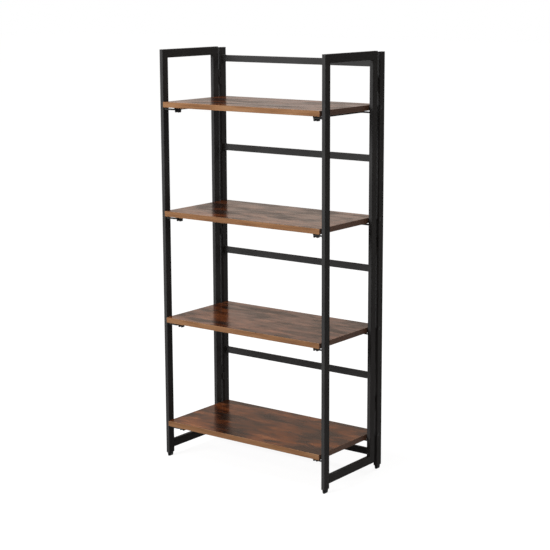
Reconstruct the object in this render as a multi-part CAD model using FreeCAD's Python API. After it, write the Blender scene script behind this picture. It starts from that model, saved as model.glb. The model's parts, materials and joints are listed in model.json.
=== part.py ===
import FreeCAD, Part
import os
from math import sqrt

# Folding shelving unit: two side frames of rectangular steel tube stand on hinges in front of a
# back frame. Each shelf board turns up on two pivot bolts at its rear edge and snaps down, with
# two plastic clips, over a bent support wire on each side frame.
# Millimetres. X runs across the front, Y from front to back, Z up. The origin is on the floor,
# in the middle of the unit.

V = FreeCAD.Vector

# Overall frame
FRAME_WIDTH = 600.0
FRAME_DEPTH = 300.0
HEIGHT = 1255.0

# Rectangular tube of the posts and rails, and the thinner tube of the crossbars
TUBE_FACE = 12.0
TUBE_DEPTH = 25.0
TUBE_WALL = 1.0
TUBE_RADIUS = 1.6
BAR_HEIGHT = 20.0
BAR_DEPTH = 10.0
BAR_WALL = 1.0
BAR_RADIUS = 1.4

# Places of the frame members
BOTTOM_RAIL_Z = 26.0
BACK_POST_DROP = 5.0
BAR_INSET = 11.0
TOP_BAR_DROP = 47.0
BAR_ABOVE_BOARD = 158.0
BOTTOM_BAR_Z = 37.0
WELD_LEG = 2.5
WELD_LENGTH = 8.0

# Plastic feet and the caps of the back posts
FOOT_HEIGHT = 12.0
FOOT_WIDTH = 10.6
FOOT_LENGTH = 22.6
FOOT_TAPER = 1.3
FOOT_ROUND = 2.2
PLUG_LENGTH = 14.0
PLUG_CLEARANCE = 0.15
CAP_THICK = 2.0
CAP_ROUND = 0.8

# Shelf boards with a glued edge band all round
SHELF_COUNT = 4
TOP_SHELF_DROP = 170.0
LOWEST_SHELF_Z = 101.0
BOARD_THICK = 16.0
BOARD_END_GAP = 2.5
BOARD_OVERHANG = 6.0
BOARD_BACK_INSET = 10.0
BAND_THICK = 1.0
BAND_ROUND = 0.7
CORNER_RADIUS = 1.2

# Support wires
WIRE_D = 5.0
WIRE_DROP = 6.0
WIRE_REACH = 35.0
WIRE_BEND = 7.0
WIRE_FRONT = 8.0

# Snap clips under the front corners of each board
CLIP_WIDTH = 20.0
CLIP_LENGTH = 11.0
CLIP_FRONT = 20.5
CLIP_PLATE = 26.0
CLIP_BASE = 3.0
CLIP_TAPER = 2.5
CLIP_THROAT = 3.3
CLIP_TIP = 4.2
CLIP_CLEARANCE = 0.2

# Screws that hold the clips
SCREW_SPREAD = 12.5
SCREW_BACK = 19.0
SCREW_D = 3.5
SCREW_HEAD_D = 6.5
SCREW_HEAD = 2.0
SCREW_LENGTH = 10.0
SCREW_POINT = 2.0
SCREW_FIT = 0.05
SCREW_HOLE_CLEARANCE = 0.2

# Shelf pivots: a domed bolt through the back post and a plastic bush in the board's end
PIVOT_INSET = 19.0
PIVOT_D = 6.0
PIVOT_HOLE_CLEARANCE = 0.1
PIVOT_RUNNING = 0.05
PIVOT_HEAD_D = 11.0
PIVOT_HEAD = 1.0
PIVOT_HEAD_ROUND = 0.8
BUSH_WALL = 1.45
BUSH_LENGTH = 22.0
BUSH_END = 2.0
BUSH_FLANGE_D = 12.0
BUSH_FLANGE = 2.0
BUSH_FIT = 0.05

# Hinges between the side frames and the back frame
HINGE_GAP = 12.5
HINGE_IN = 4.0
HINGE_TOP_DROP = 95.0
HINGE_BOTTOM_Z = 210.0
KNUCKLE_D = 8.0
KNUCKLE_LENGTH = 22.0
HINGE_PIN_D = 4.0
HINGE_PIN_CLEARANCE = 0.05
HINGE_PIN_HEAD_D = 6.0
HINGE_PIN_HEAD = 1.5

# Places that follow from the sizes above
OUTER_X = FRAME_WIDTH / 2
INNER_X = OUTER_X - TUBE_FACE
MIDDLE_X = OUTER_X - TUBE_FACE / 2
FRONT_Y = (BOARD_OVERHANG - FRAME_DEPTH) / 2
REAR_Y = FRONT_Y + FRAME_DEPTH
BACK_POST_Y = REAR_Y - TUBE_DEPTH
SIDE_REAR_Y = BACK_POST_Y - HINGE_GAP
BOARD_FRONT_Y = FRONT_Y - BOARD_OVERHANG
BOARD_REAR_Y = REAR_Y - BOARD_BACK_INSET
BOARD_END_X = INNER_X - BOARD_END_GAP
PIVOT_Y = REAR_Y - PIVOT_INSET
BAR_Y = REAR_Y - BAR_INSET
WIRE_X = INNER_X - WIRE_REACH
WIRE_FRONT_Y = FRONT_Y + WIRE_FRONT
WIRE_REAR_Y = SIDE_REAR_Y - TUBE_DEPTH / 2
CLIP_Y = FRONT_Y + CLIP_FRONT
SCREW_Y = CLIP_Y + SCREW_BACK
HINGE_X = INNER_X + HINGE_IN
HINGE_Y = SIDE_REAR_Y + HINGE_GAP / 2
HINGE_TOP_Z = HEIGHT - HINGE_TOP_DROP
HINGE_LEVELS = (HINGE_TOP_Z, (HINGE_TOP_Z + HINGE_BOTTOM_Z) / 2, HINGE_BOTTOM_Z)
BACK_TUBE_TOP = HEIGHT - BACK_POST_DROP
SHELF_PITCH = (HEIGHT - TOP_SHELF_DROP - LOWEST_SHELF_Z) / (SHELF_COUNT - 1)
BUSH_R = PIVOT_D / 2 + PIVOT_RUNNING + BUSH_WALL

HALF_ARC = 1 - sqrt(0.5)


def place(axis, u, v, w):
    """Point at w along the axis, with u and v in the plane across it, in X, Y, Z order."""
    if axis == "X":
        return V(w, u, v)
    if axis == "Y":
        return V(u, w, v)
    return V(u, v, w)


def span(middle, size):
    return (middle - size / 2, middle + size / 2)


def grown(limits, amount):
    return (limits[0] - amount, limits[1] + amount)


def arc(start, middle, end):
    return Part.Arc(start, middle, end).toShape()


def rounded_wire(axis, u, v, radius, w):
    """Rectangle with rounded corners across the axis; u and v are (low, high) pairs."""
    (u0, u1), (v0, v1), cut = u, v, radius * HALF_ARC

    def at(pu, pv):
        return place(axis, pu, pv, w)

    return Part.Wire([
        Part.makeLine(at(u0 + radius, v0), at(u1 - radius, v0)),
        arc(at(u1 - radius, v0), at(u1 - cut, v0 + cut), at(u1, v0 + radius)),
        Part.makeLine(at(u1, v0 + radius), at(u1, v1 - radius)),
        arc(at(u1, v1 - radius), at(u1 - cut, v1 - cut), at(u1 - radius, v1)),
        Part.makeLine(at(u1 - radius, v1), at(u0 + radius, v1)),
        arc(at(u0 + radius, v1), at(u0 + cut, v1 - cut), at(u0, v1 - radius)),
        Part.makeLine(at(u0, v1 - radius), at(u0, v0 + radius)),
        arc(at(u0, v0 + radius), at(u0 + cut, v0 + cut), at(u0 + radius, v0)),
    ])


def extruded(axis, wire, length):
    return Part.Face(wire).extrude(place(axis, 0, 0, length))


def rounded_bar(axis, u, v, radius, w):
    return extruded(axis, rounded_wire(axis, u, v, radius, w[0]), w[1] - w[0])


def tube(axis, u, v, w, wall, radius):
    """Open-ended rectangular tube between the (low, high) pair w along the axis."""
    inner_radius = max(radius - wall, wall / 4)
    bore = rounded_bar(axis, grown(u, -wall), grown(v, -wall), inner_radius, w)
    return rounded_bar(axis, u, v, radius, w).cut(bore)


def frame_tube(axis, u, v, w):
    return tube(axis, u, v, w, TUBE_WALL, TUBE_RADIUS)


def mitre(shape, outline):
    """Keeps the part of a side frame's tube inside an outline of (y, z) points."""
    points = [V(INNER_X, y, z) for y, z in outline]
    region = Part.Face(Part.makePolygon(points + points[:1]))
    return shape.common(region.extrude(V(TUBE_FACE, 0, 0)))


def rod(axis, u, v, radius, w):
    """Round bar along X or Z through (u, v), between the (low, high) pair w."""
    return Part.makeCylinder(radius, w[1] - w[0], place(axis, u, v, w[0]), place(axis, 0, 0, 1))


def mirrored(shape):
    return shape.mirror(V(0, 0, 0), V(1, 0, 0))


def both_sides(shape):
    return [shape, mirrored(shape)]


def underside(shelf):
    """Height of a board's lower face; shelf 1 is the top one."""
    return LOWEST_SHELF_Z + (SHELF_COUNT - shelf) * SHELF_PITCH


def pivot_height(shelf):
    return underside(shelf) + BOARD_THICK / 2


SHELVES = range(1, SHELF_COUNT + 1)
POST_X = (INNER_X, OUTER_X)


def side_frame():
    """Four mitred tubes of the right side frame, by name."""
    top, low, t = HEIGHT, BOTTOM_RAIL_Z, TUBE_DEPTH
    front, rear = FRONT_Y, SIDE_REAR_Y
    front_post = frame_tube("Z", POST_X, (front, front + t), (FOOT_HEIGHT, top))
    rear_post = frame_tube("Z", POST_X, (rear - t, rear), (low, top))
    top_rail = frame_tube("Y", POST_X, (top - t, top), (front, rear))
    bottom_rail = frame_tube("Y", POST_X, (low, low + t), (front + t, rear))
    return {
        "front_post": mitre(front_post, [
            (front, FOOT_HEIGHT), (front + t, FOOT_HEIGHT), (front + t, top - t), (front, top)]),
        "rear_post": mitre(rear_post, [
            (rear - t, low + t), (rear, low), (rear, top), (rear - t, top - t)]),
        "top_rail": mitre(top_rail, [
            (front, top), (front + t, top - t), (rear - t, top - t), (rear, top)]),
        "bottom_rail": mitre(bottom_rail, [
            (front + t, low), (rear, low), (rear - t, low + t), (front + t, low + t)]),
    }


def back_post():
    """Right post of the back frame, drilled for the pivot bolts."""
    post = frame_tube("Z", POST_X, (BACK_POST_Y, REAR_Y), (FOOT_HEIGHT, BACK_TUBE_TOP))
    hole_r = PIVOT_D / 2 + PIVOT_HOLE_CLEARANCE
    holes = [rod("X", PIVOT_Y, pivot_height(shelf), hole_r, POST_X) for shelf in SHELVES]
    return post.cut(holes)


def crossbar(z):
    """Tube between the back posts with a weld flare round each end."""
    y, height = span(BAR_Y, BAR_DEPTH), (z, z + BAR_HEIGHT)
    bar = tube("X", y, height, (-INNER_X, INNER_X), BAR_WALL, BAR_RADIUS)
    weld = Part.makeLoft([
        rounded_wire("X", grown(y, WELD_LEG), grown(height, WELD_LEG), BAR_RADIUS, INNER_X),
        rounded_wire("X", y, height, BAR_RADIUS, INNER_X - WELD_LENGTH)], True, True)
    weld = weld.cut(rounded_bar("X", y, height, BAR_RADIUS, (-INNER_X, INNER_X)))
    return bar.fuse(both_sides(weld)).removeSplitter()


def crossbar_heights():
    """Lower edges of the crossbars from the top down; one stands behind each lower shelf."""
    behind_shelves = [underside(k) + BOARD_THICK + BAR_ABOVE_BOARD for k in SHELVES if k > 1]
    return [HEIGHT - TOP_BAR_DROP] + behind_shelves + [BOTTOM_BAR_Z]


def plug(post_y, z):
    """Shank that fills a post's bore, between two heights."""
    inside = TUBE_WALL + PLUG_CLEARANCE
    y = (post_y, post_y + TUBE_DEPTH)
    return rounded_bar("Z", grown(POST_X, -inside), grown(y, -inside), TUBE_RADIUS, z)


def foot_profile(x, y):
    """Half section of a foot: a tapered flank that rolls under into a flat tip."""
    top, tip = FOOT_WIDTH / 2, FOOT_WIDTH / 2 - FOOT_TAPER
    cut = FOOT_ROUND * HALF_ARC
    corners = [V(x, y, 0), V(x + tip - FOOT_ROUND, y, 0), V(x + tip, y, FOOT_ROUND),
               V(x + top, y, FOOT_HEIGHT), V(x, y, FOOT_HEIGHT)]
    return Part.Wire([
        Part.makeLine(corners[0], corners[1]),
        arc(corners[1], V(x + tip - cut, y, cut), corners[2]),
        Part.makeLine(corners[2], corners[3]),
        Part.makeLine(corners[3], corners[4]),
        Part.makeLine(corners[4], corners[0]),
    ])


def foot(post_y):
    """Tapered plastic foot, oblong with round ends, pushed into a post's lower end."""
    y, reach = post_y + TUBE_DEPTH / 2, (FOOT_LENGTH - FOOT_WIDTH) / 2
    sides = []
    for end, turn in ((y - reach, 180), (y + reach, -180)):
        half = Part.Face(foot_profile(MIDDLE_X, end))
        sides.append(half.revolve(V(MIDDLE_X, end, 0), V(0, 0, -1), turn))
    flank = Part.Face(foot_profile(MIDDLE_X, y - reach)).extrude(V(0, 2 * reach, 0))
    other = flank.mirror(V(MIDDLE_X, y, 0), V(1, 0, 0))
    shank = plug(post_y, (FOOT_HEIGHT, FOOT_HEIGHT + PLUG_LENGTH))
    return flank.fuse([other, shank] + sides).removeSplitter()


def back_post_cap():
    """Flat plastic cap on the right back post."""
    y, top = (BACK_POST_Y, REAR_Y), BACK_TUBE_TOP + CAP_THICK
    plate = rounded_bar("Z", POST_X, y, TUBE_RADIUS, (BACK_TUBE_TOP, top))
    rim = [edge for edge in plate.Edges if edge.BoundBox.ZMin > top - CAP_THICK / 4]
    plate = plate.makeFillet(CAP_ROUND, rim)
    return plate.fuse(plug(BACK_POST_Y, (BACK_TUBE_TOP - PLUG_LENGTH, BACK_TUBE_TOP))).removeSplitter()


def support_wire(shelf):
    """Round wire bent twice, welded to the front and rear posts of the right side frame."""
    z, bend, cut = underside(shelf) - WIRE_DROP, WIRE_BEND, WIRE_BEND * HALF_ARC
    x, front, rear = WIRE_X, WIRE_FRONT_Y, WIRE_REAR_Y
    path = Part.Wire([
        Part.makeLine(V(INNER_X, front, z), V(x + bend, front, z)),
        arc(V(x + bend, front, z), V(x + cut, front + cut, z), V(x, front + bend, z)),
        Part.makeLine(V(x, front + bend, z), V(x, rear - bend, z)),
        arc(V(x, rear - bend, z), V(x + cut, rear - cut, z), V(x + bend, rear, z)),
        Part.makeLine(V(x + bend, rear, z), V(INNER_X, rear, z)),
    ])
    section = Part.Wire(Part.makeCircle(WIRE_D / 2, V(INNER_X, front, z), V(1, 0, 0)))
    return path.makePipeShell([section], True, False)


def clip_outline(z):
    """Front view of a clip: a base, and two round-tipped jaws either side of the wire."""
    half, slot = CLIP_WIDTH / 2, WIRE_D / 2 + CLIP_CLEARANCE
    throat = WIRE_DROP + WIRE_D / 2 + CLIP_THROAT
    jaw = half - CLIP_TAPER

    def at(u, drop):
        return V(WIRE_X + u, CLIP_Y, z - drop)

    def jaw_tip(start, end):
        return arc(at(start, throat), at((start + end) / 2, throat + CLIP_TIP), at(end, throat))

    return Part.Wire([
        Part.makeLine(at(-half, 0), at(half, 0)),
        Part.makeLine(at(half, 0), at(half, CLIP_BASE)),
        Part.makeLine(at(half, CLIP_BASE), at(jaw, throat)),
        jaw_tip(jaw, slot),
        Part.makeLine(at(slot, throat), at(slot, WIRE_DROP)),
        arc(at(slot, WIRE_DROP), at(0, WIRE_DROP - slot), at(-slot, WIRE_DROP)),
        Part.makeLine(at(-slot, WIRE_DROP), at(-slot, throat)),
        jaw_tip(-slot, -jaw),
        Part.makeLine(at(-jaw, throat), at(-half, CLIP_BASE)),
        Part.makeLine(at(-half, CLIP_BASE), at(-half, 0)),
    ])


def screw_places():
    """Centres of the two screws of the right clip."""
    return [(x, SCREW_Y) for x in span(WIRE_X, SCREW_SPREAD)]


def clip(shelf):
    z = underside(shelf)
    jaws = extruded("Y", clip_outline(z), CLIP_LENGTH)
    plate = rounded_bar("Z", span(WIRE_X, CLIP_WIDTH), (CLIP_Y, CLIP_Y + CLIP_PLATE),
                        CORNER_RADIUS, (z - CLIP_BASE, z))
    hole_r = SCREW_D / 2 + SCREW_HOLE_CLEARANCE
    holes = [rod("Z", x, y, hole_r, (z - CLIP_BASE, z)) for x, y in screw_places()]
    return jaws.fuse(plate).removeSplitter().cut(holes)


def screw(x, y, z):
    """Pan-head wood screw driven up through the clip, whose lower face is at z."""
    shank, head = SCREW_D / 2, SCREW_HEAD_D / 2
    profile = [
        (0, z - SCREW_HEAD), (shank, z - SCREW_HEAD), (head, z - SCREW_HEAD / 2), (head, z),
        (shank, z), (shank, z + SCREW_LENGTH - SCREW_POINT), (0, z + SCREW_LENGTH)]
    points = [V(x + r, y, height) for r, height in profile]
    face = Part.Face(Part.makePolygon(points + points[:1]))
    return face.revolve(V(x, y, z), V(0, 0, 1), 360)


def clip_screws(shelf):
    z = underside(shelf) - CLIP_BASE
    return [solid for x, y in screw_places() for solid in both_sides(screw(x, y, z))]


def bush_hole(shelf):
    depth = (BOARD_END_X - BUSH_LENGTH - BUSH_END, BOARD_END_X)
    return rod("X", PIVOT_Y, pivot_height(shelf), BUSH_R + BUSH_FIT, depth)


def board(shelf):
    """Board core with holes for the pivot bushes and the clip screws."""
    z = underside(shelf)
    x, y = (-BOARD_END_X, BOARD_END_X), (BOARD_FRONT_Y, BOARD_REAR_Y)
    core = rounded_bar("Z", grown(x, -BAND_THICK), grown(y, -BAND_THICK), CORNER_RADIUS,
                       (z, z + BOARD_THICK))
    pilot_r, pilot_top = SCREW_D / 2 + SCREW_FIT, z + SCREW_LENGTH - CLIP_BASE + SCREW_FIT
    holes = [rod("Z", sx, sy, pilot_r, (z, pilot_top)) for sx, sy in screw_places()]
    holes.append(bush_hole(shelf))
    return core.cut([hole for right in holes for hole in both_sides(right)])


def edge_band(shelf):
    """Strip round all four edges of a board, with its long edges eased."""
    z = underside(shelf)
    x, y = (-BOARD_END_X, BOARD_END_X), (BOARD_FRONT_Y, BOARD_REAR_Y)
    height = (z, z + BOARD_THICK)
    outside = rounded_bar("Z", x, y, CORNER_RADIUS + BAND_THICK, height)
    level = [edge for edge in outside.Edges if edge.BoundBox.ZLength < BOARD_THICK / 2]
    outside = outside.makeFillet(BAND_ROUND, level)
    core = rounded_bar("Z", grown(x, -BAND_THICK), grown(y, -BAND_THICK), CORNER_RADIUS, height)
    return outside.cut([core] + both_sides(bush_hole(shelf)))


def pivot_bush(shelf):
    """Flanged sleeve in the right end of a board."""
    z, inner_end = pivot_height(shelf), BOARD_END_X - BUSH_LENGTH
    sleeve = rod("X", PIVOT_Y, z, BUSH_R, (inner_end, BOARD_END_X))
    flange_x = (BOARD_END_X, BOARD_END_X + BUSH_FLANGE)
    flange = rod("X", PIVOT_Y, z, BUSH_FLANGE_D / 2, flange_x)
    bore = rod("X", PIVOT_Y, z, PIVOT_D / 2 + PIVOT_RUNNING, (inner_end, flange_x[1]))
    return sleeve.fuse(flange).cut(bore)


def pivot_bolt(shelf):
    """Domed bolt through the right back post, whose shank is the shelf's axle."""
    z = pivot_height(shelf)
    head = rod("X", PIVOT_Y, z, PIVOT_HEAD_D / 2, (OUTER_X, OUTER_X + PIVOT_HEAD))
    crown = [edge for edge in head.Edges if edge.BoundBox.XMin > OUTER_X + PIVOT_HEAD / 2]
    head = head.makeFillet(PIVOT_HEAD_ROUND, crown)
    return head.fuse(rod("X", PIVOT_Y, z, PIVOT_D / 2, (BOARD_END_X - BUSH_LENGTH, OUTER_X)))


def knuckle(face_y, z):
    """Hinge barrel with a flat back that is welded to the tube face at face_y."""
    barrel = rod("Z", HINGE_X, HINGE_Y, KNUCKLE_D / 2, z)
    near, far = sorted((HINGE_Y, face_y))
    web = Part.makeBox(KNUCKLE_D, far - near, z[1] - z[0], V(HINGE_X - KNUCKLE_D / 2, near, z[0]))
    return barrel.fuse(web).cut(rod("Z", HINGE_X, HINGE_Y, HINGE_PIN_D / 2 + HINGE_PIN_CLEARANCE, z))


def back_knuckles():
    return [knuckle(BACK_POST_Y, (z - KNUCKLE_LENGTH, z)) for z in HINGE_LEVELS]


def side_knuckles():
    return [knuckle(SIDE_REAR_Y, (z, z + KNUCKLE_LENGTH)) for z in HINGE_LEVELS]


def hinge_pins():
    """Headed pins; each head rests on the upper barrel."""
    pins = []
    for level in HINGE_LEVELS:
        top = level + KNUCKLE_LENGTH
        shank = rod("Z", HINGE_X, HINGE_Y, HINGE_PIN_D / 2, (level - KNUCKLE_LENGTH, top))
        head = rod("Z", HINGE_X, HINGE_Y, HINGE_PIN_HEAD_D / 2, (top, top + HINGE_PIN_HEAD))
        pins.append(shank.fuse(head).removeSplitter())
    return pins


def both(name, solids):
    """Names one group of solids for the right side and its mirror image for the left."""
    return {
        name.format("right"): solids,
        name.format("left"): [mirrored(solid) for solid in solids],
    }


def frame_nodes():
    nodes = {}
    for member, shape in side_frame().items():
        nodes.update(both("side_{}_" + member, [shape]))
    nodes.update(both("back_post_{}", [back_post()]))
    nodes["back_post_caps"] = both_sides(back_post_cap())
    for number, z in enumerate(crossbar_heights(), start=1):
        nodes[f"back_crossbar_{number}"] = [crossbar(z)]
    nodes.update(both("foot_front_{}", [foot(FRONT_Y)]))
    nodes.update(both("foot_rear_{}", [foot(BACK_POST_Y)]))
    nodes.update(both("hinge_{}_back_knuckles", back_knuckles()))
    nodes.update(both("hinge_{}_side_knuckles", side_knuckles()))
    nodes.update(both("hinge_{}_pins", hinge_pins()))
    for shelf in SHELVES:
        nodes.update(both("support_wire_{}_" + str(shelf), [support_wire(shelf)]))
        nodes[f"pivot_bolts_{shelf}"] = both_sides(pivot_bolt(shelf))
    return nodes


def shelf_nodes(shelf):
    return {
        f"shelf_{shelf}_board": [board(shelf)],
        f"shelf_{shelf}_edge_band": [edge_band(shelf)],
        f"shelf_{shelf}_clips": both_sides(clip(shelf)),
        f"shelf_{shelf}_clip_screws": clip_screws(shelf),
        f"shelf_{shelf}_pivot_bushes": both_sides(pivot_bush(shelf)),
    }


def all_nodes():
    nodes = frame_nodes()
    for shelf in SHELVES:
        nodes.update(shelf_nodes(shelf))
    return nodes


os.makedirs("parts", exist_ok=True)
for node, shapes in all_nodes().items():
    solids = [solid for shape in shapes for solid in shape.Solids]
    group = solids[0] if len(solids) == 1 else Part.makeCompound(solids)
    group.exportStep(f"parts/{node}.step")
    print(node, len(solids), round(group.Volume, 1), group.isValid())
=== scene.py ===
# %% [markdown]
# # A folding shelving unit
# The unit has two side frames of black steel tube, a back frame with crossbars, and four rustic
# brown boards that turn up on pivots at the back. The solids come ready made, so this lesson gives
# them their finishes, adds the small parts that a welder, a moulder and a screwdriver leave behind,
# and sets up the studio. All lengths are in metres.

# %% Load the solids
import json
import math
import bmesh
import bpy
from mathutils import Matrix, Vector


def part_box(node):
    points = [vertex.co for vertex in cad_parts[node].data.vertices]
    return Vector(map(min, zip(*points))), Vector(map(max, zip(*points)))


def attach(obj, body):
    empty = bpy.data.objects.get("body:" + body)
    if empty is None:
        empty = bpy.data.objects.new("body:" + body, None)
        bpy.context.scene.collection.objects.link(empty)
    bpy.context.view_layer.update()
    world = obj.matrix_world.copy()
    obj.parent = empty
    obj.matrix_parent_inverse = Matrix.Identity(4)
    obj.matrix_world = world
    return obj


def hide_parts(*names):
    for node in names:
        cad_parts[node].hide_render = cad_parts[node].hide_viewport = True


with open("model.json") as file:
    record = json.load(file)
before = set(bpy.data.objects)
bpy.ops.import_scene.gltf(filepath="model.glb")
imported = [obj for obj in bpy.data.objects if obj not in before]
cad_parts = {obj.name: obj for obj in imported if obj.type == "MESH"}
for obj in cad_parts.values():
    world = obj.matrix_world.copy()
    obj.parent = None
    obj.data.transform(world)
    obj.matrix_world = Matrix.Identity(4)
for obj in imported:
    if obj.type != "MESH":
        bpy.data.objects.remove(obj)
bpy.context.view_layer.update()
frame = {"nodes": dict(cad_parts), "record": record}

# %% [markdown]
# ## Camera
# The picture is taken from the front right, a little above the top shelf, with a long lens. A
# camera could be moved by hand until it looks right, but its place can also be worked out from
# straight edges of known length. That gives a position, three angles and a focal length, used here
# as they are, and a small rise of the lens, which keeps the posts nearly parallel.

# %% Set up the camera
IMAGE_SIZE = 550
FOCAL_PIXELS, RISE_PIXELS = 1466.0, 20.0
SENSOR_MM = 36.0
VIEW_POINT = (2.6037, -3.4443, 1.4399)
AZIMUTH, ELEVATION, ROLL = (math.radians(angle) for angle in (36.925, 10.417, -0.227))

lens = bpy.data.cameras.new("view")
lens.sensor_width = SENSOR_MM
lens.lens = FOCAL_PIXELS / IMAGE_SIZE * SENSOR_MM
lens.shift_y = -RISE_PIXELS / IMAGE_SIZE
camera = bpy.data.objects.new("view", lens)
bpy.context.scene.collection.objects.link(camera)
aim = Matrix.Rotation(AZIMUTH, 4, "Z") @ Matrix.Rotation(math.pi / 2 - ELEVATION, 4, "X")
camera.matrix_world = Matrix.Translation(VIEW_POINT) @ aim @ Matrix.Rotation(ROLL, 4, "Z")
bpy.context.scene.camera = camera
bpy.context.scene.view_settings.view_transform = "Standard"
print("lens", round(lens.lens, 1), "mm")

# %% [markdown]
# ## Wiring nodes
# A finish is a chain of nodes, and typing each node and link out hides the idea. Nodes could be
# placed by hand in the editor, but a lesson has to build them in code. This helper adds one node
# per call and returns its output, so that a chain reads as a sum.

# %% A helper for wiring
class Wiring:
    """A node tree, and the plain sums and colours that are done on it."""

    def __init__(self, tree):
        self.tree = tree

    def add(self, kind, **settings):
        node = self.tree.nodes.new("ShaderNode" + kind)
        for key, value in settings.items():
            setattr(node, key, value)
        return node

    def plug(self, socket, value):
        """Links an output to a socket, or sets a plain value on it."""
        if isinstance(value, bpy.types.NodeSocket):
            self.tree.links.new(value, socket)
        else:
            socket.default_value = value

    def fill(self, node, **values):
        """Plugs values into a node by socket name, with _ for a space, and gives its outputs."""
        for key, value in values.items():
            self.plug(node.inputs[key.replace("_", " ")], value)
        return node.outputs

    def math(self, operation, *values, clamp=False):
        node = self.add("Math", operation=operation, use_clamp=clamp)
        for socket, value in zip(node.inputs, values):
            self.plug(socket, value)
        return node.outputs["Value"]

    def fold(self, operation, first, *others):
        """One operation over several values, such as the largest of all."""
        for other in others:
            first = self.math(operation, first, other)
        return first

    def shares(self, *parts):
        """Adds up values, each times its share."""
        return self.fold("ADD", *(self.math("MULTIPLY", *part) for part in reversed(parts)))

    def fade(self, value, start, end, low=0.0, high=1.0):
        """A soft change from low to high, while a value goes from start to end."""
        node = self.add("MapRange", interpolation_type="SMOOTHSTEP")
        return self.fill(node, Value=value, From_Min=start, From_Max=end,
                         To_Min=low, To_Max=high)["Result"]

    def ramp(self, value, *stops):
        """Colours by value, from (position, colour) stops."""
        node = self.add("ValToRGB")
        elements = node.color_ramp.elements
        while len(elements) < len(stops):
            elements.new(0.5)
        for element, (position, colour) in zip(elements, stops):
            element.position, element.color = position, (*colour, 1.0)
        return self.fill(node, Fac=value)["Color"]

    def blend(self, amount, below, above):
        """Lays a plain colour over another by an amount."""
        node = self.add("Mix", data_type="RGBA")
        factor, first, second, mixed = 0, 6, 7, 2  # the sockets that a mix of colours uses
        for index, value in ((factor, amount), (first, below), (second, (*above, 1.0))):
            self.plug(node.inputs[index], value)
        return node.outputs[mixed]


print("wiring with", [name for name in vars(Wiring) if not name.startswith("__")])

# %% [markdown]
# ## Writing a finish
# A finish is a material whose pattern, gloss and relief belong together, so the parts of a recipe
# are kept in one class. A UV map could carry the patterns, but every solid would have to be
# unwrapped first. Object coordinates need nothing, and they are metres here, so a pattern has the
# scale of the real thing and stays on a piece that moves.

# %% A recipe book for finishes
class Finish(Wiring):
    """A material with patterns in metres."""

    def __init__(self, name):
        self.material = bpy.data.materials.new(name)
        self.material.use_nodes = True
        super().__init__(self.material.node_tree)
        self.shader = self.tree.nodes["Principled BSDF"]
        self.place = self.add("TexCoord").outputs["Object"]

    def noise(self, where, scale, detail, roughness=0.5, distortion=0.0):
        return self.fill(self.add("TexNoise"), Vector=where, Scale=scale, Detail=detail,
                         Roughness=roughness, Distortion=distortion)["Fac"]

    def grain(self, stretch, detail, roughness=0.5, distortion=0.0, offset=(0.0, 0.0, 0.0)):
        """A noise with its own number of features per metre along X, Y and Z."""
        drawn = self.fill(self.add("Mapping"), Vector=self.place, Scale=stretch, Location=offset)
        return self.noise(drawn["Vector"], 1.0, detail, roughness, distortion)

    def axes(self):
        place = self.fill(self.add("SeparateXYZ"), Vector=self.place)
        return place["X"], place["Y"], place["Z"]

    def distance(self, value, level):
        return self.math("ABSOLUTE", self.math("SUBTRACT", value, level))

    def relief(self, height, depth, strength):
        return self.fill(self.add("Bump"), Height=height, Distance=depth,
                         Strength=strength)["Normal"]

    def wear(self, **sockets):
        """Plugs the recipe into the shader and hands over the material."""
        self.fill(self.shader, **sockets)
        return self.material


print("recipes from", [name for name in vars(Finish) if not name.startswith("__")])

# %% [markdown]
# ## Powder coat on the tubes
# The frame is sprayed with black powder that melts into a satin skin. The skin is never quite flat:
# it has a soft orange peel about two millimetres across and a fine tooth. A thin line stays visible
# where two tubes meet at a mitre. Grooves could be cut for the lines, but the tubes keep their
# plain shape, so the lines are worked out from where the corners are. A bump from two noises gives
# the skin.

# %% Mix the powder coat
front_low, front_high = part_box("side_right_front_post")
rear_low, rear_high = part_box("side_right_rear_post")
TUBE = front_high.y - front_low.y
SEAM = 0.0004
PEEL, TOOTH, CLOUD = 420.0, 2600.0, 9.0  # features per metre
TOOTH_SHARE, SEAM_SINK = 0.35, 1.5  # heights, with the peel's as 1
SKIN_DEPTH = 0.00006
COAT_BLACK = ((0.3, (0.032, 0.032, 0.0323)), (0.7, (0.040, 0.040, 0.0403)))
SEAM_BLACK = (0.004, 0.004, 0.004)


def mitre_line(coat, y, z, corner, slope):
    """A thin line through the (y, z) corner, kept inside the joint."""
    dy = coat.math("SUBTRACT", y, corner[0])
    dz = coat.math("SUBTRACT", z, corner[1])
    across = coat.math("ABSOLUTE", coat.math("ADD", dy, coat.math("MULTIPLY", dz, slope)))
    reach = coat.math("MAXIMUM", coat.math("ABSOLUTE", dy), coat.math("ABSOLUTE", dz))
    inside = coat.math("LESS_THAN", reach, TUBE)
    return coat.math("MULTIPLY", coat.fade(across, SEAM / 2, SEAM, 1.0, 0.0), inside)


def powder_coat():
    coat = Finish("powder_coat")
    _, y, z = coat.axes()
    peel = coat.noise(coat.place, PEEL, 2.0)
    skin = coat.shares((peel, 1.0), (coat.noise(coat.place, TOOTH, 2.0), TOOTH_SHARE))
    seam = coat.fold("MAXIMUM",
                     mitre_line(coat, y, z, (front_low.y, front_high.z), 1.0),
                     mitre_line(coat, y, z, (rear_high.y, rear_high.z), -1.0),
                     mitre_line(coat, y, z, (rear_high.y, rear_low.z), 1.0))
    tone = coat.ramp(coat.noise(coat.place, CLOUD, 3.0), *COAT_BLACK)
    height = coat.math("SUBTRACT", skin, coat.math("MULTIPLY", seam, SEAM_SINK))
    return coat.wear(
        Base_Color=coat.blend(seam, tone, SEAM_BLACK),
        Roughness=coat.fade(peel, 0.3, 0.7, 0.36, 0.46),
        Specular_IOR_Level=0.02,
        Normal=coat.relief(height, SKIN_DEPTH, 0.5))


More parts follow.
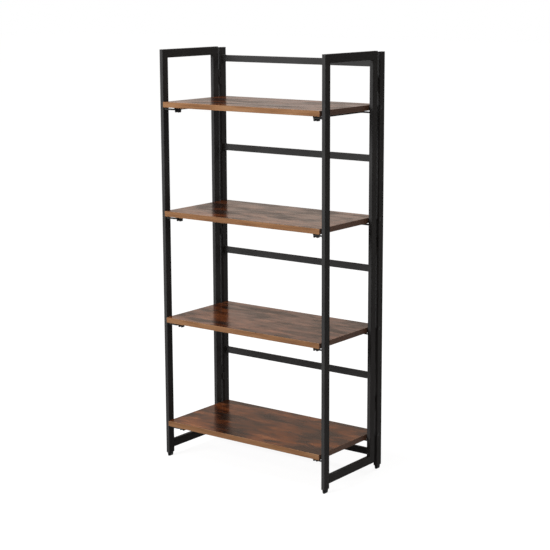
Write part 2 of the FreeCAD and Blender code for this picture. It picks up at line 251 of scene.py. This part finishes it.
frame_black = powder_coat()
print(frame_black.name, len(frame_black.node_tree.nodes), "nodes")

# %% [markdown]
# ## Printed board faces
# The boards are chipboard under a printed melamine film: warm brown with rusty and charred patches,
# streaks along the board and short dark ticks, under a smooth half gloss. One noise can't carry all
# that, so several are laid over each other, as a printer lays down inks: broad patches, a mottle
# and streaks drawn out along the board, fibres, charred spots and ticks. The charred spots are a
# little duller, so they also show where the board mirrors the wall. A dark hairline runs round each
# board, where the film meets the edge band.

# %% Print the boards
board_low, board_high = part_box("shelf_1_board")
HAIRLINE = 0.0005
PORE_DEPTH = 0.00003
BOARD_BROWN = ((0.39, (0.011, 0.003, 0.0015)), (0.45, (0.044, 0.012, 0.004)),
               (0.51, (0.096, 0.026, 0.008)), (0.57, (0.155, 0.048, 0.016)),
               (0.64, (0.210, 0.076, 0.029)))
CHAR_BLACK, FIBRE_BROWN = (0.008, 0.004, 0.003), (0.030, 0.012, 0.006)
TICK_BLACK, HAIRLINE_BROWN = (0.010, 0.007, 0.006), (0.020, 0.012, 0.008)


def board_print():
    film = Finish("board_print")
    x, y, _ = film.axes()
    patches = film.grain((7.0, 11.0, 9.0), 3.0, 0.55, 0.3)
    mottle = film.grain((11.0, 40.0, 14.0), 4.0, 0.60, 0.4, offset=(5.0, 9.0, 3.0))
    streaks = film.grain((9.0, 110.0, 11.0), 6.0, 0.6)
    fibres = film.grain((26.0, 640.0, 20.0), 4.0, 0.6)
    char = film.grain((8.0, 20.0, 12.0), 6.0, 0.60, 0.3, offset=(5.2, 6.4, 5.0))
    ticks = film.grain((40.0, 150.0, 30.0), 2.0, offset=(7.0, 2.0, 1.0))
    ink = film.shares((patches, 0.38), (mottle, 0.38), (streaks, 0.24))
    brown = film.ramp(ink, *BOARD_BROWN)
    brown = film.blend(film.fade(char, 0.45, 0.61, 0.0, 0.92), brown, CHAR_BLACK)
    brown = film.blend(film.fade(fibres, 0.45, 0.72, 0.0, 0.24), brown, FIBRE_BROWN)
    brown = film.blend(film.fade(ticks, 0.64, 0.72, 0.0, 0.75), brown, TICK_BLACK)
    edge = film.fold("MAXIMUM",
                     film.math("SUBTRACT", film.math("ABSOLUTE", x), board_high.x),
                     film.math("SUBTRACT", y, board_high.y),
                     film.math("SUBTRACT", board_low.y, y))
    brown = film.blend(film.fade(edge, -HAIRLINE, -HAIRLINE / 3), brown, HAIRLINE_BROWN)
    smooth = film.fade(mottle, 0.35, 0.65, 0.21, 0.14)
    dull = film.fade(char, 0.42, 0.66, 0.0, 0.11)
    return film.wear(
        Base_Color=brown,
        Roughness=film.math("ADD", smooth, dull),
        IOR=1.45,
        Normal=film.relief(film.shares((fibres, 1.0), (ticks, 0.6)), PORE_DEPTH, 0.35))


rustic_board = board_print()
print(rustic_board.name, len(rustic_board.node_tree.nodes), "nodes")

# %% [markdown]
# ## Edge bands
# A strip of the same family of print is glued round each board. It is lighter and more orange than
# the face, with grain along the strip, and its eased edges are rubbed paler. Across the board's
# ends the colour is blended to a darker, greyer brown. This is painted shade, because the band is
# the same print all round. The grain is stretched along both X and Y, so that it follows the strip
# round the corners, and one recipe does for all four sides.

# %% Print the edge bands
SHELVES = (1, 2, 3, 4)
BOARD_THICK = board_high.z - board_low.z
BOARD_LEVELS = [sum(corner.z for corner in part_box(f"shelf_{k}_board")) / 2 for k in SHELVES]
RUB_START, RUB_END = BOARD_THICK / 2 - 0.0009, BOARD_THICK / 2 - 0.0002
GRAIN_DEPTH = 0.00003
BAND_ORANGE = ((0.32, (0.112, 0.053, 0.026)), (0.50, (0.190, 0.095, 0.045)),
               (0.68, (0.252, 0.141, 0.074)))
BAND_DARK, BAND_RUBBED = (0.085, 0.042, 0.022), (0.275, 0.172, 0.104)
# painted shade: a darker, greyer brown for the band across the board's ends, not a colour the band
# has
BAND_END_SHADE = (0.106, 0.063, 0.053)


def edge_print():
    band = Finish("edge_print")
    x, _, z = band.axes()
    broad = band.grain((7.0, 7.0, 40.0), 3.0)
    grain = band.grain((9.0, 9.0, 420.0), 5.0, 0.6)
    tone = band.ramp(band.shares((broad, 0.6), (grain, 0.4)), *BAND_ORANGE)
    tone = band.blend(band.fade(grain, 0.60, 0.74, 0.0, 0.55), tone, BAND_DARK)
    nearest = band.fold("MINIMUM", *(band.distance(z, level) for level in BOARD_LEVELS))
    tone = band.blend(band.fade(nearest, RUB_START, RUB_END, 0.0, 0.35), tone, BAND_RUBBED)
    # painted shade: both ends of each board are blended towards the darker, greyer brown
    ends = band.fade(band.math("ABSOLUTE", x), board_high.x - HAIRLINE, board_high.x, 0.0, 0.60)
    return band.wear(
        Base_Color=band.blend(ends, tone, BAND_END_SHADE),
        Roughness=band.fade(grain, 0.3, 0.7, 0.34, 0.44),
        Specular_IOR_Level=0.08,
        Normal=band.relief(grain, GRAIN_DEPTH, 0.4))


edge_strip = edge_print()
print(edge_strip.name, len(edge_strip.node_tree.nodes), "nodes")

# %% [markdown]
# ## Plastic and small hardware
# Feet, caps, clips and bushes are moulded in black plastic with a spark-eroded grain. The clip
# screws are zinc plated, bright and slightly blotchy, and the pivot bolts and hinge pins are
# blackened. Each gets its own short recipe, because gloss and grain tell these blacks apart.

# %% Mould the plastic, plate the screws, blacken the bolts
SPARK_DEPTH = 0.00004
PLASTIC_BLACK = ((0.3, (0.005, 0.005, 0.0055)), (0.7, (0.009, 0.009, 0.0095)))
ZINC_GREY = ((0.3, (0.46, 0.46, 0.45)), (0.7, (0.62, 0.63, 0.64)))
OXIDE_BLACK = ((0.3, (0.011, 0.011, 0.012)), (0.7, (0.019, 0.0185, 0.0185)))


def moulded_plastic():
    plastic = Finish("moulded_plastic")
    spark = plastic.noise(plastic.place, 3200.0, 2.0)
    flow = plastic.noise(plastic.place, 60.0, 3.0)
    return plastic.wear(
        Base_Color=plastic.ramp(flow, *PLASTIC_BLACK),
        Roughness=plastic.fade(spark, 0.3, 0.7, 0.46, 0.6),
        Specular_IOR_Level=0.08,
        Normal=plastic.relief(spark, SPARK_DEPTH, 0.5))


def zinc_plate():
    zinc = Finish("zinc_plate")
    bloom = zinc.noise(zinc.place, 700.0, 4.0, 0.6)
    return zinc.wear(
        Base_Color=zinc.ramp(bloom, *ZINC_GREY),
        Metallic=1.0,
        Roughness=zinc.fade(bloom, 0.3, 0.7, 0.24, 0.42))


def black_oxide():
    oxide = Finish("black_oxide")
    bloom = oxide.noise(oxide.place, 900.0, 4.0, 0.6)
    return oxide.wear(
        Base_Color=oxide.ramp(bloom, *OXIDE_BLACK),
        Roughness=oxide.fade(bloom, 0.3, 0.7, 0.30, 0.42),
        Specular_IOR_Level=0.12)


black_plastic, screw_zinc, bolt_black = moulded_plastic(), zinc_plate(), black_oxide()
print([m.name for m in (black_plastic, screw_zinc, bolt_black)])

# %% [markdown]
# ## Dressing the solids
# The record says which finish each solid takes, so the finishes are handed out by that list instead
# of by name. The shapes of these solids are right as they are and stay untouched.

# %% Hand out the finishes
FINISHES = {"frame_paint": frame_black, "bolt_black": bolt_black, "zinc_steel": screw_zinc,
            "black_plastic": black_plastic, "board_face": rustic_board, "board_edge": edge_strip}
for part in frame["record"]["subparts"]:
    solid = frame["nodes"][part["node"]]
    if not solid.material_slots:
        solid.data.materials.append(None)
    for material_slot in solid.material_slots:
        material_slot.material = FINISHES[part["material_slot"]]

# %% [markdown]
# ## Modelling by hand
# Small pieces start from a primitive, are shaped in edit mode and end with their modifiers applied.
# Operators act on whatever is selected, so each piece starts from an empty selection, and faces are
# chosen in code by where they are. These helpers open a piece, choose on it, and close it again.

# %% Helpers for shaping
NEAR = 0.0001  # how close to a place counts as being there
QUARTER = math.pi / 2


def start(primitive, **settings):
    bpy.ops.object.select_all(action="DESELECT")
    primitive(**settings)
    bpy.ops.object.transform_apply(location=True, rotation=True, scale=True)
    return bpy.context.active_object


def edit(piece, kind="FACE"):
    bpy.ops.object.select_all(action="DESELECT")
    piece.select_set(True)
    bpy.context.view_layer.objects.active = piece
    bpy.ops.object.mode_set(mode="EDIT")
    bpy.ops.mesh.select_mode(type=kind)


def choose(piece, kind, test):
    """Selects the faces, edges or verts whose middle and points pass the test."""
    mesh = bmesh.from_edit_mesh(piece.data)
    bpy.ops.mesh.select_all(action="DESELECT")
    for item in getattr(mesh, kind):
        points = [item.co] if kind == "verts" else [vertex.co for vertex in item.verts]
        item.select_set(test(sum(points, Vector()) / len(points), points))
    mesh.select_flush_mode()
    bmesh.update_edit_mesh(piece.data)


def pull(x, y, z):
    """Draws the chosen faces out by a step."""
    bpy.ops.mesh.extrude_region_move(TRANSFORM_OT_translate={"value": (x, y, z)})


def done(piece, angle=35.0):
    bpy.ops.mesh.select_all(action="SELECT")
    bpy.ops.mesh.normals_make_consistent(inside=False)
    bpy.ops.object.mode_set(mode="OBJECT")
    bpy.ops.object.shade_smooth_by_angle(angle=math.radians(angle))
    return piece


def cut_away(piece, cutter):
    knife = piece.modifiers.new("cut", "BOOLEAN")
    knife.operation, knife.solver, knife.object = "DIFFERENCE", "EXACT", cutter
    bpy.ops.object.select_all(action="DESELECT")
    bpy.context.view_layer.objects.active = piece
    bpy.ops.object.modifier_apply(modifier="cut")
    bpy.data.objects.remove(cutter)


print("shaping helpers ready, near is", NEAR * 1000, "mm")

# %% [markdown]
# What repeats is modelled once and copied, each copy with its own mesh. The unit is the same on
# both sides, so most copies come in pairs, one of them mirrored. Pieces that belong together are
# joined, ride on one body and wear one finish.

# %% Helpers for copying
def copy_of(piece, shift, mirror=False):
    """A copy with its own mesh, moved, and turned over to the left side if asked."""
    twin = piece.copy()
    twin.data = piece.data.copy()
    bpy.context.scene.collection.objects.link(twin)
    twin.data.transform(Matrix.Translation(shift))
    if mirror:
        twin.data.transform(Matrix.Scale(-1.0, 4, (1.0, 0.0, 0.0)))
        twin.data.flip_normals()
    return twin


def both_sides(piece, places):
    """Copies of a model at each place, on the right and on the left, in its stead."""
    copies = [copy_of(piece, place, mirror) for place in places for mirror in (False, True)]
    bpy.data.objects.remove(piece)
    return copies


def gather(name, pieces, body, finish):
    """Joins copies into one piece that rides on a body and wears a finish."""
    bpy.ops.object.select_all(action="DESELECT")
    for piece in pieces:
        piece.select_set(True)
    bpy.context.view_layer.objects.active = pieces[0]
    bpy.ops.object.join()
    whole = bpy.context.active_object
    whole.name = whole.data.name = name
    whole.data.materials.clear()
    whole.data.materials.append(finish)
    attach(whole, body)
    print(name, len(whole.data.polygons), "faces on", body)
    return whole


# %% [markdown]
# ## Pivot bolts
# Each board turns on a low domed bolt through the back post. Its head is turned round and has a
# hexagon socket for the key. Spinning a half outline would give the same body, but a cylinder needs
# no outline drawn first: it is the head, its inner face is inset and pulled out into the shank, the
# rim is bevelled into a dome, and a hexagonal bar cuts the socket.

# %% Turn one pivot bolt
HEAD_R, SHANK_R, KEY_R, KEY_DEPTH = 0.0055, 0.0030, 0.0021, 0.0007
DOME_SHARE, DOME_SHAPE, DOME_STEPS = 0.85, 0.6, 5
bolt_low, bolt_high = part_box("pivot_bolts_1")
outer_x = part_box("back_post_right")[1].x
pivot_y = (bolt_low.y + bolt_high.y) / 2
pivot_z = (bolt_low.z + bolt_high.z) / 2
shank_end = min(abs(v.co.x) for v in frame["nodes"]["pivot_bolts_1"].data.vertices)
head_height = bolt_high.x - outer_x
sideways = (0.0, QUARTER, 0.0)

bolt = start(bpy.ops.mesh.primitive_cylinder_add, vertices=48, radius=HEAD_R, depth=head_height,
             location=(outer_x + head_height / 2, pivot_y, pivot_z), rotation=sideways)
edit(bolt)
choose(bolt, "faces", lambda middle, points: middle.x < outer_x + head_height / 8)
bpy.ops.mesh.inset(thickness=HEAD_R - SHANK_R)
pull(shank_end - outer_x, 0.0, 0.0)
bpy.ops.mesh.inset(thickness=SHANK_R / 4)
bpy.ops.mesh.select_mode(type="EDGE")
choose(bolt, "edges", lambda middle, points: all(p.x > bolt_high.x - NEAR for p in points))
bpy.ops.mesh.bevel(offset=head_height * DOME_SHARE, offset_type="OFFSET", segments=DOME_STEPS,
                   profile=DOME_SHAPE)
done(bolt)
key = start(bpy.ops.mesh.primitive_cylinder_add, vertices=6, radius=KEY_R, depth=2 * KEY_DEPTH,
            location=(bolt_high.x, pivot_y, pivot_z), rotation=sideways)
cut_away(bolt, key)
print("bolt head", round(head_height * 1000, 2), "mm proud")

# %% [markdown]
# The bolts stay in the posts when a board turns, so they ride on the frame. Each pair stands in for
# the plain solids of one shelf, at the same height.

# %% Fit the bolts
for k in SHELVES:
    low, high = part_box(f"pivot_bolts_{k}")
    drop = (0.0, 0.0, (low.z + high.z) / 2 - pivot_z)
    pair = both_sides(copy_of(bolt, drop), [(0.0, 0.0, 0.0)])
    bolts = gather(f"pivot_bolt_pair_{k}", pair, "frame", bolt_black)
    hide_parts(f"pivot_bolts_{k}")
bpy.data.objects.remove(bolt)

# %% [markdown]
# ## Clip screws
# Two pan-head screws hold each clip up against the board, so from below each shows a round head
# with a cross recess. It is shaped in the same steps as the bolt: a cylinder with a bevelled rim is
# the head, and its upper face is drawn out into the shank and the point. A thread could be wound
# round the shank, but the board hides it, so the shank stays plain.

# %% Turn one clip screw
PAN_R, PAN_HEIGHT, PAN_ROUND, PAN_STEPS = 0.00325, 0.0020, 0.0012, 5
WOOD_R, POINT, POINT_SHARE = 0.00175, 0.0020, 0.12
screws_low, screws_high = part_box("shelf_1_clip_screws")
plate_z = screws_low.z + PAN_HEIGHT
screw = start(bpy.ops.mesh.primitive_cylinder_add, vertices=32, radius=PAN_R, depth=PAN_HEIGHT,
              location=(0.0, 0.0, plate_z - PAN_HEIGHT / 2))
edit(screw)
choose(screw, "faces", lambda middle, points: middle.z > plate_z - NEAR)
bpy.ops.mesh.inset(thickness=PAN_R - WOOD_R)
pull(0.0, 0.0, screws_high.z - plate_z - POINT)
pull(0.0, 0.0, POINT)
bpy.ops.transform.resize(value=(POINT_SHARE, POINT_SHARE, 1.0))
bpy.ops.mesh.select_mode(type="EDGE")
choose(screw, "edges", lambda middle, points: all(p.z < screws_low.z + NEAR for p in points))
bpy.ops.mesh.bevel(offset=PAN_ROUND, offset_type="OFFSET", segments=PAN_STEPS)
done(screw)
print("screw", round((screws_high.z - screws_low.z) * 1000, 1), "mm long")

# %% [markdown]
# The recess narrows towards its floor, as the driver's tip does, so two crossed wedges cut it. Each
# is a cube whose upper face is scaled down, and it reaches as far below the head as into it, so
# that no skin is left over the cut.

# %% Cut the cross recess
CROSS_SPAN, CROSS_WIDTH, CROSS_DEPTH, CROSS_TAPER = 0.0036, 0.0007, 0.0012, 0.5
wings = []
for angle in (0.0, QUARTER):
    wing = start(bpy.ops.mesh.primitive_cube_add, size=1.0, location=(0.0, 0.0, screws_low.z),
                 scale=(CROSS_SPAN, CROSS_WIDTH, 2 * CROSS_DEPTH), rotation=(0.0, 0.0, angle))
    edit(wing)
    choose(wing, "faces", lambda middle, points: middle.z > screws_low.z + CROSS_DEPTH - NEAR)
    bpy.ops.transform.resize(value=(CROSS_TAPER, CROSS_TAPER, 1.0))
    wings.append(done(wing))
for wing in wings:
    cut_away(screw, wing)
print("recess", CROSS_DEPTH * 1000, "mm deep")

# %% [markdown]
# Each shelf has four screws, two in the clip at each end. They turn with the board, so they ride on
# the shelf's body and replace its plain screws.

# %% Drive the screws
shank_x = [v.co.x for v in frame["nodes"]["shelf_1_clip_screws"].data.vertices if v.co.x > 0]
screw_x = (min(shank_x) + PAN_R, max(shank_x) - PAN_R)
screw_y = (screws_low.y + screws_high.y) / 2
for k in SHELVES:
    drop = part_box(f"shelf_{k}_clip_screws")[0].z - screws_low.z
    driven = both_sides(copy_of(screw, (0.0, screw_y, drop)), [(x, 0.0, 0.0) for x in screw_x])
    screws = gather(f"clip_screw_set_{k}", driven, f"shelf_{k}", screw_zinc)
    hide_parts(f"shelf_{k}_clip_screws")
bpy.data.objects.remove(screw)

# %% [markdown]
# ## Clip gussets
# A moulded clip has a thin triangular rib on each side, which stiffens the jaws against the plate
# when the board is pulled up off its wires. A rib could be an extruded triangle, but a cube gets
# there in one move: its far lower edge is lifted to make the wedge. The edges are broken, as a
# mould leaves them, and the rib stands on the plate behind the jaws.

# %% Mould the gussets
GUSSET_THICK, GUSSET_HEIGHT, GUSSET_LENGTH, GUSSET_INSET = 0.0010, 0.0050, 0.0040, 0.0020
GUSSET_SLOPE, GUSSET_EDGE, JAW_TIPS = 0.85, 0.00018, 0.004
SUNK = 0.0003
clip_low, clip_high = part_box("shelf_1_clips")
clip_points = [v.co for v in frame["nodes"]["shelf_1_clips"].data.vertices]
jaw_back = max(point.y for point in clip_points if point.z < clip_low.z + JAW_TIPS)
gusset_x = clip_high.x - GUSSET_INSET
gusset = start(bpy.ops.mesh.primitive_cube_add, size=1.0,
               scale=(GUSSET_THICK, GUSSET_LENGTH + SUNK, GUSSET_HEIGHT + SUNK),
               location=(gusset_x, jaw_back + (GUSSET_LENGTH - SUNK) / 2,
                         plate_z - (GUSSET_HEIGHT - SUNK) / 2))
edit(gusset, "EDGE")
far_y, low_z = jaw_back + GUSSET_LENGTH - NEAR, plate_z - GUSSET_HEIGHT + NEAR
choose(gusset, "edges", lambda middle, points: all(p.y > far_y and p.z < low_z for p in points))
bpy.ops.transform.translate(value=(0.0, 0.0, GUSSET_HEIGHT * GUSSET_SLOPE))
bpy.ops.mesh.select_all(action="SELECT")
bpy.ops.mesh.bevel(offset=GUSSET_EDGE, segments=2)
done(gusset)
inner = sum(screw_x) - 2 * gusset_x
for k in SHELVES:
    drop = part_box(f"shelf_{k}_clips")[1].z - clip_high.z
    ribs = both_sides(copy_of(gusset, (0.0, 0.0, drop)), [(0.0, 0.0, 0.0), (inner, 0.0, 0.0)])
    gather(f"clip_gussets_{k}", ribs, f"shelf_{k}", black_plastic)
bpy.data.objects.remove(gusset)

# %% [markdown]
# ## Weld beads
# The rails and the hinge barrels are welded on before the frame is sprayed, and each weld is a
# small rippled bead under the paint. A bump in the paint would show the ripple but not the bead's
# outline, so the bead is a mesh: a short cylinder, cut into rings that are made thicker and thinner
# in turn and closed to round ends. It is made along Z and turned for the places along X.

# %% Lay a bead
RIPPLES, CREST, VALLEY = 9, 1.0, 0.88
BEAD_ENDS = {0: 0.45, 1: 0.82}  # how thick the last two rings at each end are
SOFT_ANGLE = 60.0


def bead(middle, axis, length, radius):
    """A rippled bead about a point, along X or Z."""
    piece = start(bpy.ops.mesh.primitive_cylinder_add, vertices=14, radius=radius, depth=length)
    edit(piece, "EDGE")
    choose(piece, "edges", lambda spot, ends: abs(ends[0].z - ends[1].z) > length / 2)
    bpy.ops.mesh.subdivide(number_cuts=2 * RIPPLES)
    last = 2 * RIPPLES + 1
    step = length / last
    bpy.ops.mesh.select_mode(type="VERT")
    for ring in range(last + 1):
        height = ring * step - length / 2
        choose(piece, "verts", lambda spot, ends: abs(spot.z - height) < step / 4)
        size = BEAD_ENDS.get(min(ring, last - ring), CREST if ring % 2 else VALLEY)
        bpy.ops.transform.resize(value=(size, size, 1.0), center_override=(0.0, 0.0, height))
    done(piece, SOFT_ANGLE)
    turn = Matrix.Rotation(QUARTER, 4, "Y") if axis == "X" else Matrix.Identity(4)
    piece.data.transform(Matrix.Translation(middle) @ turn)
    return piece


print("a bead has", RIPPLES, "ripples")

# %% [markdown]
# The side frames have a bead in each inner corner. The bottom rail meets the front post square, so
# it has one above and one below. The beads stop short of the tube's rounded edges.

# %% Weld the side frames
CORNER_BEAD_R, CORNER_BEAD_LENGTH = 0.0018, 0.0092
rail_low, rail_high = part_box("side_right_bottom_rail")
middle_x = (front_low.x + front_high.x) / 2
corner_bead = bead((middle_x, 0.0, 0.0), "X", CORNER_BEAD_LENGTH, CORNER_BEAD_R)
corners = [(front_high.y, front_high.z - TUBE), (rear_low.y, rear_high.z - TUBE),
           (rear_low.y, rail_high.z), (front_high.y, rail_high.z), (front_high.y, rail_low.z)]
laid = both_sides(corner_bead, [(0.0, y, z) for y, z in corners])
gather("side_frame_welds", laid, "frame", frame_black)

# %% [markdown]
# Each hinge barrel has a flat back, and a bead runs up its outer side where it touches the tube. It
# is a little shorter than the barrel, whose levels are read from the solid.

# %% Weld the hinge barrels
BARREL_BEAD_R, BARREL_SHARE = 0.0014, 0.86
laid = []
for node, face_y in (("hinge_right_back_knuckles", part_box("back_post_right")[0].y),
                     ("hinge_right_side_knuckles", rear_high.y)):
    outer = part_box(node)[1].x
    rims = sorted({round(v.co.z, 5) for v in frame["nodes"][node].data.vertices})
    levels = [(a + b) / 2 for a, b in zip(rims[::2], rims[1::2])]
    length = (rims[1] - rims[0]) * BARREL_SHARE
    barrel_bead = bead((outer, face_y, 0.0), "Z", length, BARREL_BEAD_R)
    laid += both_sides(barrel_bead, [(0.0, 0.0, level) for level in levels])
gather("hinge_welds", laid, "frame", frame_black)

# %% [markdown]
# A wire is welded all round, so its bead is a ring. Bending the straight bead round would need many
# steps, so this one is a torus, roughened a little as a hand weld is, and cut off flush at the face
# of the post.

# %% Weld the wires
WIRE_R, RING_R, RING_SPREAD = 0.0025, 0.0012, 0.35
ROUGH, ROUGH_EVEN, FLUSH = 0.00022, 0.3, 0.0002
ring = start(bpy.ops.mesh.primitive_torus_add, major_segments=28, minor_segments=10,
             major_radius=WIRE_R + RING_R * RING_SPREAD, minor_radius=RING_R, rotation=sideways)
edit(ring, "VERT")
bpy.ops.mesh.select_all(action="SELECT")
bpy.ops.transform.vertex_random(offset=ROUGH, uniform=ROUGH_EVEN, seed=4)
bpy.ops.mesh.select_all(action="SELECT")
bpy.ops.mesh.bisect(plane_co=(FLUSH, 0.0, 0.0), plane_no=(1.0, 0.0, 0.0), clear_outer=True,
                    use_fill=True)
done(ring, SOFT_ANGLE)
wire_ends = []
for k in SHELVES:
    low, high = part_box(f"support_wire_right_{k}")
    wire_ends += [(front_low.x, y, (low.z + high.z) / 2) for y in (low.y + WIRE_R, high.y - WIRE_R)]
gather("wire_welds", both_sides(ring, wire_ends), "frame", frame_black)

# %% [markdown]
# ## Studio
# The unit stands on a plain pale floor that runs out of the picture. One sheet of bent paper could
# serve as floor and wall, but its shading would spread over the whole picture, so the floor is flat
# and wide, and the surroundings do for the wall.

# %% Lay the floor
FLOOR_SIZE = 60.0
floor = start(bpy.ops.mesh.primitive_plane_add, size=FLOOR_SIZE)
floor.name = "floor"
edit(floor)
bpy.ops.mesh.subdivide(number_cuts=3)
done(floor)
print("floor", round(floor.dimensions.x), "m across")

# %% [markdown]
# Camera, mirror and glass rays see the floor as white. Its own shading is dim: it keeps a faint
# soft shadow and throws little light up at the tubes, which stay black down to the feet. More light
# would make it white as well, but would wash out the unit.

# %% Whiten the floor
FLOOR_GREY = (0.14, 0.14, 0.14, 1.0)
GLOW_NEAR, GLOW_FAR = (0.8, 0.91), (4.0, 0.975)  # distance from the unit, and how white
paper = Finish("floor_paper")
paper.tree.nodes.remove(paper.shader)
away = paper.add("VectorMath", operation="LENGTH")
paper.plug(away.inputs[0], paper.place)
white = paper.fill(paper.add("MapRange"), Value=away.outputs["Value"],
                   From_Min=GLOW_NEAR[0], From_Max=GLOW_FAR[0],
                   To_Min=GLOW_NEAR[1], To_Max=GLOW_FAR[1])["Result"]
seen = paper.add("LightPath").outputs
shown = paper.math("ADD", seen["Is Camera Ray"], seen["Is Glossy Ray"])
shown = paper.math("ADD", shown, seen["Is Transmission Ray"], clamp=True)
matt = paper.fill(paper.add("BsdfDiffuse"), Color=FLOOR_GREY)[0]
glow = paper.fill(paper.add("Emission"), Strength=paper.math("MULTIPLY", shown, white))[0]
both = paper.add("AddShader")
paper.plug(both.inputs[0], matt)
paper.plug(both.inputs[1], glow)
paper.fill(paper.tree.nodes["Material Output"], Surface=both.outputs[0])
floor.data.materials.append(paper.material)
print(paper.material.name, len(paper.tree.nodes), "nodes")

# %% [markdown]
# The half-gloss boards are seen almost along their faces, so what they mirror matters as much as
# their print. Panels round the unit could be mirrored, but would stand in some views. Instead the
# surroundings are a round wall, white at the floor, then grey, beige and brown, up to a dim
# ceiling. It is set by the height of the ray alone, so it is the same from all sides.

# %% Surroundings
WALL = ((0.01, (1.0, 1.0, 1.0)), (0.06, (0.36, 0.325, 0.30)), (0.18, (0.75, 0.64, 0.55)),
        (0.235, (0.65, 0.54, 0.48)), (0.30, (0.41, 0.245, 0.158)), (0.50, (0.18, 0.17, 0.16)),
        (1.0, (0.18, 0.18, 0.18)))
world = bpy.data.worlds.new("studio")
bpy.context.scene.world = world
world.use_nodes = True
wall = Wiring(world.node_tree)
ray = wall.fill(wall.add("SeparateXYZ"), Vector=wall.add("TexCoord").outputs["Generated"])
wall.fill(world.node_tree.nodes["Background"], Color=wall.ramp(ray["Z"], *WALL))
print("wall in", len(WALL), "tones")

# %% [markdown]
# A broad lamp in front on the left makes the front faces paler than the sides, one above lights the
# boards, and one behind keeps the back frame from sinking into shadow. The front and back lamps
# stand low enough to show in a board as hard white discs, so mirror rays pass them by. The overhead
# one gives the sheen.

# %% Lamps
def lamp(name, place, target, size, power, mirrored):
    light = bpy.data.lights.new(name, "AREA")
    light.shape, light.size, light.energy = "DISK", size, power
    holder = bpy.data.objects.new(name, light)
    bpy.context.scene.collection.objects.link(holder)
    holder.location = place
    holder.rotation_euler = (Vector(target) - Vector(place)).to_track_quat("-Z", "Y").to_euler()
    holder.visible_glossy = mirrored
    print(name, power, "W")


lamp("front_left", place=(-1.0, -3.1, 1.8), target=(0.0, 0.0, 0.7), size=1.6, power=140.0,
     mirrored=False)
lamp("overhead", place=(-0.4, -0.9, 3.4), target=(0.0, 0.0, 0.6), size=2.0, power=60.0,
     mirrored=True)
lamp("behind", place=(0.2, 3.0, 2.4), target=(0.0, 0.0, 0.6), size=1.6, power=80.0,
     mirrored=False)

# %% [markdown]
# ## Sizes
# Dressing must not make the unit bigger.
